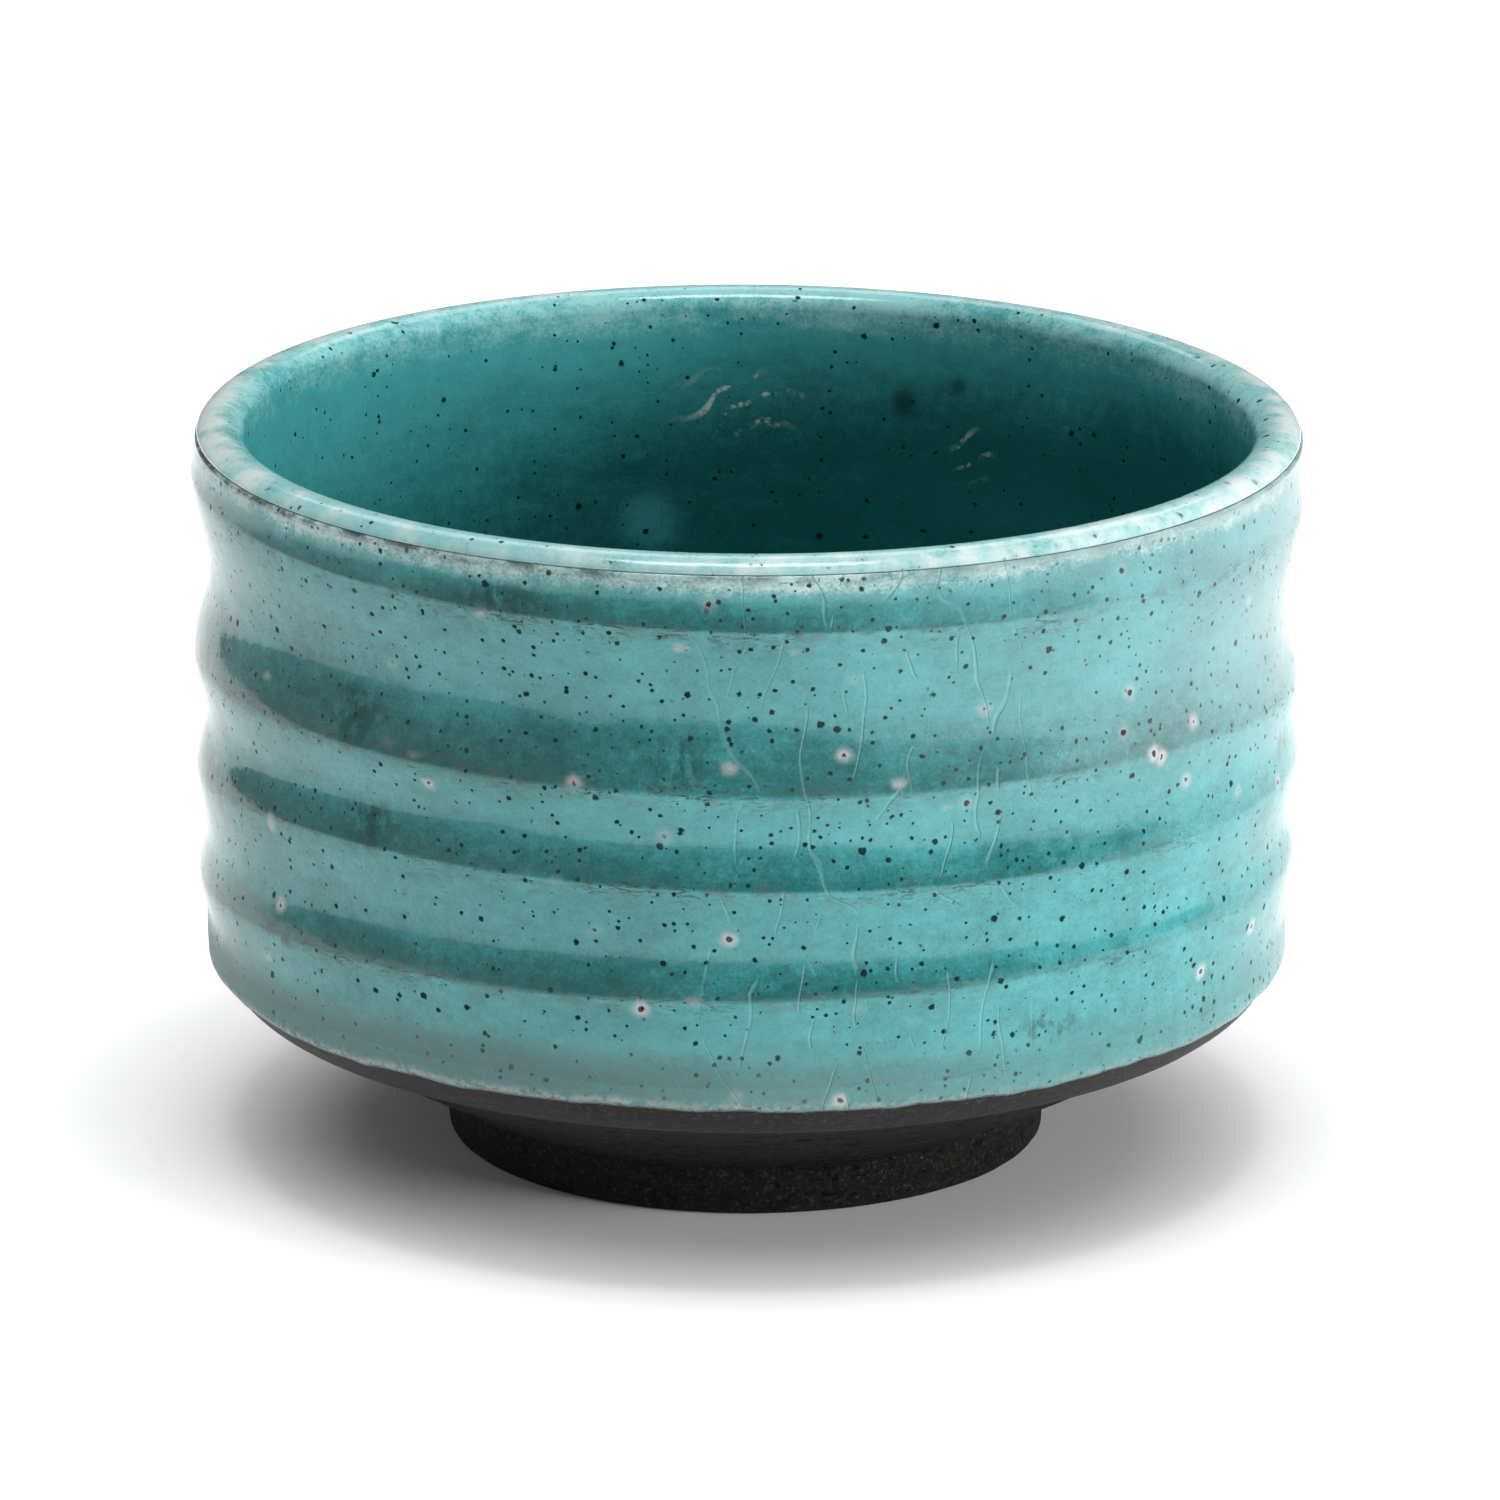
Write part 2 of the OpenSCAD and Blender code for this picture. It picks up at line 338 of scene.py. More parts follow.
def between(tree, value, low, high, out_low=0.0, out_high=1.0):
    """Eases a value from out_low to out_high as it goes from low to high."""
    made = shade(tree, "ShaderNodeMapRange", {0: value, 1: low, 2: high, 3: out_low, 4: out_high},
                 interpolation_type="SMOOTHSTEP")
    return made.outputs[0]


def blend_colour(tree, amount, a, b):
    """One colour over another."""
    made = shade(tree, "ShaderNodeMix", data_type="RGBA")
    for key, value in ((0, amount), (6, a), (7, b)):
        if isinstance(value, bpy.types.NodeSocket):
            tree.links.new(value, made.inputs[key])
        else:
            made.inputs[key].default_value = value if key == 0 else (*value, 1)
    return made.outputs[2]


def new_finish(name):
    """An empty finish with its shader, and the place on the piece in millimetres."""
    finish = bpy.data.materials.new(name)
    finish.use_nodes = True
    tree = finish.node_tree
    shader = tree.nodes["Principled BSDF"]
    place = shade(tree, "ShaderNodeTexCoord").outputs["Object"]
    mm = shade(tree, "ShaderNodeVectorMath", {0: place, 3: 1000.0}, operation="SCALE")
    return finish, tree, shader, mm.outputs[0]


def mark(tree, name):
    """The value of one of the piece's marks."""
    return shade(tree, "ShaderNodeAttribute", attribute_name=name).outputs["Fac"]


def stretch(tree, mm, along, up):
    """The place on the piece squeezed, so that a texture read there comes out along millimetres
    long round the bowl and up millimetres tall."""
    squeeze = (1 / along, 1 / along, 1 / up)
    return shade(tree, "ShaderNodeVectorMath", {0: mm, 1: squeeze}, operation="MULTIPLY").outputs[0]


def noise(tree, mm, size, detail=2.0, roughness=0.5, distortion=0.0):
    """Cloudy noise whose clouds are size millimetres across."""
    made = shade(tree, "ShaderNodeTexNoise", {"Vector": mm, "Scale": 1 / size, "Detail": detail,
                                              "Roughness": roughness, "Distortion": distortion})
    return made.outputs[0]


def clay_finish():
    """Dark fired clay: brown-black and matt, with pale crumbs of grog and small torn pits where it
    was trimmed, the pits painted near black as shade, and a closer, slightly shinier skin on the
    smooth band."""
    finish, tree, shader, mm = new_finish("stoneware")
    rough = mark(tree, "trimmed")
    colour = blend_colour(tree, noise(tree, mm, 7.0, 4.0, 0.6),
                          (0.0065, 0.0062, 0.0058), (0.014, 0.013, 0.012))
    fine = noise(tree, mm, 0.5, 4.0, 0.75)
    colour = blend_colour(tree, between(tree, fine, 0.52, 0.70), colour, (0.047, 0.044, 0.040))
    torn = noise(tree, stretch(tree, mm, 1.7, 0.9), 1.0, 4.0, 0.7, 0.5)
    crumbs = noise(tree, stretch(tree, mm, 0.55, 0.4), 1.0, 1.0, 0.5, 0.6)
    grog = between(tree, crumbs, 0.74, 0.80)
    share = sum_up(tree, "MULTIPLY_ADD", rough, 0.8, 0.1)
    grog = sum_up(tree, "MULTIPLY", grog, share)
    colour = blend_colour(tree, grog, colour, (0.12, 0.11, 0.098))
    holes = sum_up(tree, "MULTIPLY", between(tree, crumbs, 0.32, 0.25), share)
    tears = sum_up(tree, "MULTIPLY", between(tree, torn, 0.42, 0.33), share)
    pits = sum_up(tree, "MAXIMUM", holes, tears)
    # The pits are painted near black: painted shade in the hollows
    colour = blend_colour(tree, pits, colour, (0.002, 0.002, 0.002))
    tree.links.new(colour, shader.inputs["Base Color"])
    tree.links.new(between(tree, rough, 0.0, 1.0, 0.5, 0.85), shader.inputs["Roughness"])
    shader.inputs["IOR"].default_value = 1.4
    shader.inputs["Specular IOR Level"].default_value = 0.32
    height = sum_up(tree, "MULTIPLY_ADD", fine, 0.22, sum_up(tree, "MULTIPLY", grog, 0.08))
    height = sum_up(tree, "MULTIPLY_ADD", torn, 0.55, height)
    height = sum_up(tree, "MULTIPLY_ADD", pits, -0.2, height)
    depth = sum_up(tree, "MULTIPLY", height, sum_up(tree, "MULTIPLY_ADD", rough, 0.85, 0.15))
    bump = shade(tree, "ShaderNodeBump", {"Height": depth, "Distance": MM, "Strength": 1.0})
    tree.links.new(bump.outputs[0], shader.inputs["Normal"])
    return finish


stoneware = clay_finish()
clay.data.materials.append(stoneware)
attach(clay, "root")
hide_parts("clay_body")

# ------------------------------------------------------------------------------ the foot ring
# A low ring of the same clay, luted into its seat and trimmed on the wheel. Its lower edges are
# rubbed down so that it doesn't scratch what it stands on.

FOOT_EDGE = 1.0 * MM
FOOT_DRAFT = 0.3 * MM


def foot_outline():
    """The ring's section, once round: down the hollow side, a quarter round, the resting face,
    another quarter round, up the outside and back over the seat."""
    quarter = np.linspace(0, math.pi / 2, 7)[:, None]
    rest_in, rest_out = foot_hole_r + FOOT_EDGE, foot_r - FOOT_DRAFT - FOOT_EDGE
    down = np.linspace(seat_z, FOOT_EDGE, 12)[:-1, None]
    up = np.linspace(0, 1, 18)[1:, None]
    rest = np.linspace(rest_in, rest_out, 10)[1:-1, None]
    over = np.linspace(foot_r, foot_hole_r, 6)[1:-1, None]
    r = [foot_hole_r + 0 * down, rest_in - FOOT_EDGE * np.cos(quarter), rest,
         rest_out + FOOT_EDGE * np.sin(quarter), foot_r - FOOT_DRAFT * (1 - up), over]
    z = [down, FOOT_EDGE - FOOT_EDGE * np.sin(quarter), 0 * rest,
         FOOT_EDGE - FOOT_EDGE * np.cos(quarter), FOOT_EDGE + (seat_z - FOOT_EDGE) * up,
         seat_z + 0 * over]
    return np.concatenate(r) + 0 * turn, np.concatenate(z) + 0 * turn


ring_r, ring_z = foot_outline()
ring_free = np.clip((foot_h - ring_z) / (0.6 * MM), 0, 1) * np.clip(ring_z / (0.5 * MM), 0, 1)
ring_run = run_length(ring_r, ring_z)
rub = (0.09 * lumps(ring_run, 40, 1.3 * MM, 41) + 0.05 * lumps(ring_run, 3, 0.7 * MM, 42)
       - 0.3 * np.clip(lumps(ring_run, 120, 1.2 * MM, 43) - 0.5, 0, 1))
ring_r, ring_z = offset(ring_r, ring_z, rub * MM * ring_free)
foot = turned_solid("foot_ring_clay", ring_r, ring_z, hoop=True, trimmed=1 + 0 * ring_r)
foot.data.materials.append(stoneware)
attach(foot, "root")
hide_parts("foot_ring")

# ------------------------------------------------------------------------------ the outside glaze
# A glossy copper glaze that the bowl was dipped in. It fires deep teal where it lies thick and
# milky where it thins over the rings and the lip, and iron in the clay comes through it as specks.
# Painted shade darkens it on the left and in the grooves, and a painted sheen lightens the right.

COAT_EDGE = 1.5 * MM
SEAM_EDGE = 0.4 * MM
COAT_BACK = 0.05 * MM


def thinned(run, reach=COAT_EDGE):
    """A coat's share of its full thickness near its edge: the quarter of an ellipse."""
    return np.sqrt(np.clip(1 - (1 - np.clip(run / reach, 0, 1)) ** 2, 0, 1))


face_r, face_z, pool_and_shade, crest = clay_wall(13)
from_line = run_length(face_r, face_z)
from_seam = from_line[-1:] - from_line
bead = 1 + 0.35 * np.exp(-((from_line - 1.2 * MM) / (0.9 * MM)) ** 2)
coat_t = glaze_t * bead * np.minimum(thinned(from_line), 0.5 + 0.5 * thinned(from_seam, SEAM_EDGE))
coat_r, coat_z = offset(face_r, face_z, coat_t)

# The coat's hidden side lies a hair inside the clay, with every fifth row, run back the other way
back_r, back_z = offset(face_r, face_z, -COAT_BACK)
back = slice(-2, 0, -5)

# Where the coat has pooled: low on the ridges' upper sides, most at the front and the front left. It
# is less so high on the right, near the glaze line, and under the lip at the back and the left.
# The same mark carries painted shade: it is weaker all down the lit right side, the whole left,
# the shaded side, is darkened, and the lower right is a little deeper too.
near_lip = np.clip(1.1 - from_seam / (2.6 * MM), 0, 1)
ledge = pool_and_shade
pool_and_shade = pool_and_shade * around(1, 0.62, 0.4, 0.5, 0.6, 0.7, 0.85, 1.05)
pool_and_shade = pool_and_shade * (1 - near_lip)
pool_and_shade = pool_and_shade * (1 - np.clip((face_z - 66 * MM) / (4 * MM), 0, 1) * around(0, 0.7, 0.7, 0, 0, 0, 0, 0))
pool_and_shade = pool_and_shade * (1 - np.clip((28 * MM - face_z) / (2 * MM), 0, 1) * 0.7)
above = np.clip((face_z - 72 * MM) / MM, 0, 1)
pool_and_shade = pool_and_shade * (1 - above * (1 - around(1, 1, 1, 0.6, 0.5, 0.3, 0.2, 0.75)))
pool_and_shade = np.maximum(pool_and_shade, around(0, 0, 0, 0, 0.1, 0.25, 0.42, 0.30) * (1 - near_lip))
low_right = around(0, 0.26, 0.3, 0.1, 0, 0, 0, 0) * np.clip((50 * MM - face_z) / (10 * MM), 0, 1)
pool_and_shade = np.maximum(pool_and_shade, low_right)

# Where a painted sheen lightens it (high on the right), painted shade greys it (the grooves on
# the left), it is worn (the ridges) and smudged (a few places)
painted_sheen = around(0.02, 0.17, 0.30, 0.14, 0.05, 0.05, 0.05, 0.02)
painted_sheen = painted_sheen * np.clip((face_z - 46 * MM) / (12 * MM), 0, 1)
painted_left_shade = ledge * around(0.12, 0.03, 0, 0, 0.1, 0.3, 0.45, 0.45) * (1 - near_lip)
crest = crest * around(1, 0.6, 0.5, 0.7, 0.8, 0.9, 1, 1)
stain = blots(face_r, face_z, (-44, 58.5, 4.0, 3.5), (-42, 47.0, 3.5, 3.0), (-25, 74.2, 6, 2.0),
              (33, 27.0, 3.5, 2.0), (75, 48.0, 2.0, 2.0), (-7, 58.0, 3.0, 3.0), (-56, 31.5, 4.0, 1.2))

# Its two edges: thin, pale and creased against the inside coat at the lip, with painted shade in
# the crease, and at the glaze line a duller, greyer strip (low), partly painted shade, a pale line
# in it (skirt) and brown crumbs (hem)
rim_pale = near_lip * around(0.65, 1, 1.1, 0.9, 0.8, 0.9, 1, 0.6)
ragged = (0.35 * lumps(0 * turn, 60, 1, 51) + 0.2 * lumps(0 * turn, 170, 1, 52)) * MM
crease_shade = np.exp(-((from_seam - np.abs(ragged)) / (0.38 * MM)) ** 2)
crease_shade = crease_shade * around(0.6, 0.15, 0.5, 0.3, 0.5, 0.7, 1, 1)
low = np.exp(-(from_line / (6.0 * MM)) ** 4) * around(1.15, 0.6, 0.5, 0.8, 1, 1, 1.3, 1.4)
hem = np.exp(-from_line / (0.5 * MM))
skirt = np.exp(-((from_line - 0.9 * MM) / (0.6 * MM)) ** 2)
skirt = skirt * around(0.7, 0.4, 0.5, 0.6, 0.7, 0.9, 1, 1)

outer_r = np.concatenate([coat_r, back_r[back]])
outer_z = np.concatenate([coat_z, back_z[back]])
outer_marks = {"thin": 0.75 * near_lip, "crease_shade": crease_shade, "hem": hem, "pool_and_shade": pool_and_shade,
               "crest": crest, "stain": stain, "brim": rim_pale, "skirt": skirt, "low": low,
               "painted_sheen": painted_sheen, "painted_left_shade": painted_left_shade}
outer_marks = {name: np.concatenate([m, m[back]]) for name, m in outer_marks.items()}
outer = turned_solid("outside_glaze", outer_r, outer_z, hoop=True, **outer_marks)


def dots(tree, mm, spacing, share, smallest, largest):
    """Round grains scattered through the glaze: how far each point is from the nearest one, counted
    in that grain's own radius, and whether that grain is one of the share that is there at all."""
    cells = shade(tree, "ShaderNodeTexVoronoi", {"Vector": mm, "Scale": 1 / spacing, "Randomness": 1.0})
    pick = shade(tree, "ShaderNodeSeparateColor", {0: cells.outputs["Color"]})
    skewed = sum_up(tree, "POWER", pick.outputs[1], 1.6)
    size = sum_up(tree, "MULTIPLY_ADD", skewed, (largest - smallest) / spacing, smallest / spacing)
    return (sum_up(tree, "DIVIDE", cells.outputs["Distance"], size),
            sum_up(tree, "LESS_THAN", pick.outputs[0], share))


def glaze_finish(name, deep, middle, milky, freckles, mottled=1.0):
    """The start of a thick glossy glaze. Its colour runs from deep, where it has pooled and where
    shade is painted, to milky, where it lies thin, with slow clouds, streaks along the throwing
    rings and fine mottling, all as strong as mottled says. Iron specks come through it. Each row of
    freckles is one kind of them: how far apart they lie, what share is there, and the smallest and
    the largest radius."""
    finish, tree, shader, mm = new_finish(name)
    clouds = sum_up(tree, "SUBTRACT", noise(tree, mm, 15.0, 3.0, 0.55), 0.5)
    streaks = sum_up(tree, "SUBTRACT", noise(tree, stretch(tree, mm, 7.0, 2.2), 1.0, 3.0, 0.6), 0.5)
    mottle = sum_up(tree, "SUBTRACT", noise(tree, mm, 1.5, 4.0, 0.7), 0.5)
    grain = sum_up(tree, "SUBTRACT", noise(tree, mm, 0.35, 2.0, 0.7), 0.5)
    uneven = sum_up(tree, "MULTIPLY_ADD", clouds, 1.3, sum_up(tree, "MULTIPLY", streaks, 0.9))
    uneven = sum_up(tree, "MULTIPLY_ADD", mottle, 1.1, uneven)
    uneven = sum_up(tree, "MULTIPLY", sum_up(tree, "MULTIPLY_ADD", grain, 1.0, uneven), mottled)
    pool_and_shade = mark(tree, "pool_and_shade")
    pool_and_shade = sum_up(tree, "MULTIPLY_ADD", sum_up(tree, "MULTIPLY_ADD", pool_and_shade, -0.7, -0.15), uneven, pool_and_shade)
    colour = blend_colour(tree, between(tree, pool_and_shade, -0.1, 1.05), middle, deep)
    thin = mark(tree, "thin")
    patchy = sum_up(tree, "MULTIPLY_ADD", thin, 1.6 / mottled, 0.2)
    thin = sum_up(tree, "MULTIPLY_ADD", patchy, uneven, thin)
    colour = blend_colour(tree, between(tree, thin, 0.15, 1.0), colour, milky)
    tone = sum_up(tree, "MULTIPLY_ADD", uneven, 0.45, 1.0)
    colour = shade(tree, "ShaderNodeHueSaturation", {"Value": tone, "Color": colour}).outputs[0]

    height = sum_up(tree, "MULTIPLY", noise(tree, mm, 4.5, 2.0), 0.08)
    height = sum_up(tree, "MULTIPLY_ADD", mottle, 0.018, height)
    height = sum_up(tree, "MULTIPLY_ADD", grain, 0.004, height)
    shine = 0.5
    for spacing, share, smallest, largest in freckles:
        far, there = dots(tree, mm, spacing, share, smallest, largest)
        far = sum_up(tree, "MULTIPLY_ADD", grain, 1.2, far)
        dot = sum_up(tree, "MULTIPLY", there, between(tree, far, 0.75, 1.15, 0.96, 0.0))
        colour = blend_colour(tree, dot, colour, (0.003, 0.014, 0.015))
        height = sum_up(tree, "MULTIPLY_ADD", dot, -0.02, height)
        shine = sum_up(tree, "MULTIPLY_ADD", dot, -0.5, shine, clamp=True)
    tree.links.new(shine, shader.inputs["Specular IOR Level"])
    shader.inputs["IOR"].default_value = 1.53
    gloss = between(tree, sum_up(tree, "ADD", mottle, clouds), -0.3, 0.3, 0.04, 0.12)
    tree.links.new(gloss, shader.inputs["Roughness"])
    return finish, tree, shader, mm, colour, height


def hairlines(tree, mm, across, apart, sway, start, width):
    """Thin lines square to the direction in which across is counted, in millimetres: they lie apart
    millimetres from one another before noise sways them."""
    bend = noise(tree, stretch(tree, mm, 10.0, 16.0), 1.0, 2.0, 0.35)
    bend = sum_up(tree, "MULTIPLY_ADD", bend, sway, start)
    row = sum_up(tree, "MULTIPLY_ADD", across, 1 / apart, bend)
    off = sum_up(tree, "PINGPONG", row, 0.5)
    return between(tree, off, 0.25 * width / apart, width / apart, 1.0, 0.0)


def pale_brim(tree, mm, colour, pale):
    """Whitens the glaze in clouds where it drew back from the lip's edge."""
    edge = mark(tree, "brim")
    cloud = sum_up(tree, "MULTIPLY_ADD", noise(tree, mm, 4.5, 4.0, 0.6), 3.4, -1.7)
    cloud = sum_up(tree, "MULTIPLY", sum_up(tree, "ADD", edge, cloud), edge)
    white = sum_up(tree, "MULTIPLY", between(tree, cloud, 0.1, 1.1), 0.85)
    return blend_colour(tree, white, colour, pale)


def finish_glaze(tree, shader, colour, height):
    """Gives a glaze its last colour and its surface relief."""
    tree.links.new(colour, shader.inputs["Base Color"])
    bump = shade(tree, "ShaderNodeBump", {"Height": height, "Distance": MM, "Strength": 1.0})
    tree.links.new(bump.outputs[0], shader.inputs["Normal"])


turquoise, tree, shader, mm, colour, height = glaze_finish(
    "turquoise_glaze", (0.008, 0.122, 0.121), (0.055, 0.262, 0.268), (0.330, 0.450, 0.445),
    freckles=((1.12, 0.65, 0.12, 0.31), (2.3, 0.5, 0.22, 0.46)))

# Darker teal flecks in the grooves, as strong as the pooled and shaded places
dark_flecks = between(tree, noise(tree, mm, 0.9, 4.0, 0.8), 0.50, 0.66)
dark_flecks = sum_up(tree, "MULTIPLY", dark_flecks, between(tree, mark(tree, "pool_and_shade"), 0.1, 1.0, 0.0, 0.45))
colour = blend_colour(tree, dark_flecks, colour, (0.006, 0.050, 0.048))

# Towards the right a painted whitish sheen lightens the coat
colour = blend_colour(tree, mark(tree, "painted_sheen"), colour, (0.33, 0.28, 0.29))

# Painted shade greys the grooves on the left
colour = blend_colour(tree, mark(tree, "painted_left_shade"), colour, (0.050, 0.085, 0.083))

# Iron and wear tint the ridges brown-grey, with darker scratches along them
wear = noise(tree, stretch(tree, mm, 2.4, 1.0), 1.0, 4.0, 0.7)
wear = sum_up(tree, "MULTIPLY", between(tree, wear, 0.42, 0.68), mark(tree, "crest"))
colour = blend_colour(tree, sum_up(tree, "MULTIPLY", wear, 0.6), colour, (0.070, 0.095, 0.090))
scratch = noise(tree, stretch(tree, mm, 2.0, 0.45), 1.0, 4.0, 0.75, 0.8)
scratch = sum_up(tree, "MULTIPLY", between(tree, scratch, 0.54, 0.60), mark(tree, "crest"))
scratch = sum_up(tree, "MULTIPLY", scratch, between(tree, noise(tree, mm, 7.0, 1.0), 0.45, 0.6))
colour = blend_colour(tree, sum_up(tree, "MULTIPLY", scratch, 0.85), colour, (0.015, 0.028, 0.026))
height = sum_up(tree, "MULTIPLY_ADD", scratch, -0.03, height)

# The coat greys towards its lower edge, in patches, partly with painted shade
low = sum_up(tree, "MULTIPLY_ADD", noise(tree, mm, 1.2, 4.0, 0.7), 0.9, -0.25)
low = sum_up(tree, "MULTIPLY", sum_up(tree, "ADD", low, 0.35), mark(tree, "low"))
colour = blend_colour(tree, low, colour, (0.085, 0.145, 0.138))

colour = pale_brim(tree, mm, colour, (0.23, 0.33, 0.33))

# Painted shade in the crease between the two coats, shown only in places
gaps = between(tree, noise(tree, stretch(tree, mm, 6.0, 3.0), 1.0, 4.0, 0.7), 0.42, 0.58)
crease_shade = sum_up(tree, "MULTIPLY", mark(tree, "crease_shade"), gaps)
colour = blend_colour(tree, sum_up(tree, "MULTIPLY", crease_shade, 0.9), colour, (0.012, 0.02, 0.02))

# Pinholes with a brown middle and a pale, smeared rim. Grains are scattered all through, and only
# those whose middle is as far from the bowl's axis as the surface is there have burst
PINHOLES_APART = 5.4
axes = shade(tree, "ShaderNodeSeparateXYZ", {0: mm})
cells = shade(tree, "ShaderNodeTexVoronoi", {"Vector": mm, "Scale": 1 / PINHOLES_APART,
                                             "Randomness": 1.0})
middle = shade(tree, "ShaderNodeSeparateXYZ", {0: cells.outputs["Position"]})
inward = []
for point in (axes, middle):
    square = sum_up(tree, "MULTIPLY_ADD", point.outputs[0], point.outputs[0],
                    sum_up(tree, "MULTIPLY", point.outputs[1], point.outputs[1]))
    inward.append(sum_up(tree, "SQRT", square))
inward = sum_up(tree, "ABSOLUTE", sum_up(tree, "SUBTRACT", inward[0], inward[1]))
burst = between(tree, inward, 0.12, 0.42, 1.0, 0.0)
pick = shade(tree, "ShaderNodeSeparateColor", {0: cells.outputs["Color"]})
pale = between(tree, pick.outputs[0], 0.1, 0.9, 0.12, 0.62)
smear = sum_up(tree, "SUBTRACT", noise(tree, mm, 1.0, 3.0, 0.6), 0.5)
far = sum_up(tree, "MULTIPLY", cells.outputs["Distance"], PINHOLES_APART)
far = sum_up(tree, "MULTIPLY_ADD", smear, 0.9, far)
rim = sum_up(tree, "MULTIPLY", burst, between(tree, far, 0.15, 1.4, 1.0, 0.0))
rim = sum_up(tree, "MULTIPLY", rim, pale)
colour = blend_colour(tree, rim, colour, (0.56, 0.50, 0.51))
hole = sum_up(tree, "MULTIPLY", burst, between(tree, far, 0.20, 0.34, 1.0, 0.0))
colour = blend_colour(tree, hole, colour, (0.030, 0.010, 0.014))
height = sum_up(tree, "MULTIPLY_ADD", hole, -0.06, height)

# Dark smudges at a few places
smudge = between(tree, noise(tree, stretch(tree, mm, 1.6, 2.2), 1.0, 3.0, 0.65), 0.40, 0.60)
smudge = sum_up(tree, "MULTIPLY", smudge, mark(tree, "stain"))
colour = blend_colour(tree, sum_up(tree, "MULTIPLY", smudge, 0.75), colour, (0.008, 0.045, 0.043))

# Long craze lines on the front, right of the middle: two slants that cross, shown in stretches
aside = between(tree, axes.outputs[0], -12.0, 4.0)
aside = sum_up(tree, "MULTIPLY", aside, between(tree, axes.outputs[0], 22.0, 36.0, 1.0, 0.0))
aside = sum_up(tree, "MULTIPLY", aside, sum_up(tree, "LESS_THAN", axes.outputs[1], 0.0))
craze = 0.0
for slant, apart, sway, start in ((0.30, 6.0, 2.4, 0.0), (-0.22, 5.0, -2.0, 0.3)):
    across = sum_up(tree, "MULTIPLY_ADD", axes.outputs[2], slant, axes.outputs[0])
    shown = noise(tree, stretch(tree, mm, 4.0, 9.0), 1.0, 1.0)
    shown = between(tree, shown, 0.5, 0.5 + 0.3 * slant)
    line = sum_up(tree, "MULTIPLY", hairlines(tree, mm, across, apart, sway, start, 0.20), shown)
    craze = sum_up(tree, "MAXIMUM", craze, line)
craze = sum_up(tree, "MULTIPLY", craze, aside)
colour = blend_colour(tree, sum_up(tree, "MULTIPLY", craze, 0.2), colour, (0.20, 0.44, 0.42))
height = sum_up(tree, "MULTIPLY_ADD", craze, -0.09, height)

# Near its lower edge the coat is less glossy
gloss = shader.inputs["Roughness"].links[0].from_socket
dull = sum_up(tree, "MULTIPLY_ADD", mark(tree, "low"), 0.35, gloss)
tree.links.new(dull, shader.inputs["Roughness"])

# The glaze's lower edge: a pale broken line, then brown crumbs where the coat runs out
crumbs = noise(tree, mm, 0.9, 4.0, 0.75)
pale = sum_up(tree, "MULTIPLY", mark(tree, "skirt"), between(tree, crumbs, 0.42, 0.56))
colour = blend_colour(tree, sum_up(tree, "MULTIPLY", pale, 0.75), colour, (0.33, 0.37, 0.35))
brown = between(tree, sum_up(tree, "MULTIPLY_ADD", crumbs, 1.4, mark(tree, "hem")), 0.95, 1.25)
colour = blend_colour(tree, brown, colour, (0.045, 0.040, 0.033))
crumbs = sum_up(tree, "MULTIPLY", crumbs, mark(tree, "hem"))
height = sum_up(tree, "MULTIPLY_ADD", crumbs, 0.5, height)
finish_glaze(tree, shader, colour, height)
outer.data.materials.append(turquoise)
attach(outer, "root")
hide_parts("outer_glaze")

# ------------------------------------------------------------------------------ the inside glaze
# The same glaze, poured in and swilled round, so it lies thicker, and darker with painted shade.
# It closes over the floor, laps over the lip, and stops in a crease against the outside coat.

face_r, face_z = clay_inside(12)
from_seam = run_length(face_r, face_z)
coat_t = glaze_t * (0.5 + 0.5 * thinned(from_seam, SEAM_EDGE))
coat_r, coat_z = offset(face_r, face_z, coat_t)
coat_r[-1] = 0
back_r, back_z = offset(face_r, face_z, -COAT_BACK)
back_r[-1] = 0
back = slice(-1, 0, -5)

# Where it is thin and pale (the lip), deep (below the lip, most at the right and least at the left,
# which is painted shade on the shaded right wall and painted light on the lit left wall, but evenly
# round the middle of the floor, and with one paler patch), spotted, and wrinkled with painted glints
lip = np.clip(1.3 - from_seam / (7.5 * MM), 0, 1)
brim = np.clip(1.6 - from_seam / (3.2 * MM), 0, 1)
brim = brim * around(0.66, 0.82, 0.88, 0.82, 0.7, 0.85, 0.95, 0.6)
depth = np.clip((79 * MM - face_z) / (around(20, 14, 12, 13, 18, 22, 24, 22) * MM), 0, 1)
evenly = np.clip(face_r / (24 * MM), 0, 1) ** 2
pool_and_shade = depth * (0.8 + evenly * (around(0.8, 0.95, 1.08, 1.1, 0.93, 0.62, 0.32, 0.55) - 0.8))
pool_and_shade = pool_and_shade - 0.5 * blots(face_r, face_z, (192, 53.6, 3.6, 3.4))
dark = blots(face_r, face_z, (161, 68.0, 1.6, 1.6), (154, 70.5, 1.0, 0.9))
wrinkle_and_glint = blots(face_r, face_z, (181, 67.2, 6.5, 3.4), (152, 62.8, 2.2, 2.6))

inner_r = np.concatenate([back_r[back], coat_r])
inner_z = np.concatenate([back_z[back], coat_z])
inner_marks = {name: np.concatenate([m[back], m]) for name, m in
               (("thin", lip), ("pool_and_shade", pool_and_shade), ("dark", dark), ("wrinkle_and_glint", wrinkle_and_glint), ("brim", brim))}
inner = turned_solid("inside_glaze", inner_r, inner_z, **inner_marks)
teal, tree, shader, mm, colour, height = glaze_finish(
    "deep_teal_glaze", (0.006, 0.085, 0.084), (0.050, 0.280, 0.285), (0.190, 0.400, 0.400),
    freckles=((1.3, 0.5, 0.09, 0.28), (2.5, 0.4, 0.20, 0.45)), mottled=0.5)

# Two small dark spots on the far side
spot = sum_up(tree, "MULTIPLY", mark(tree, "dark"), 0.75)
colour = blend_colour(tree, spot, colour, (0.004, 0.03, 0.03))

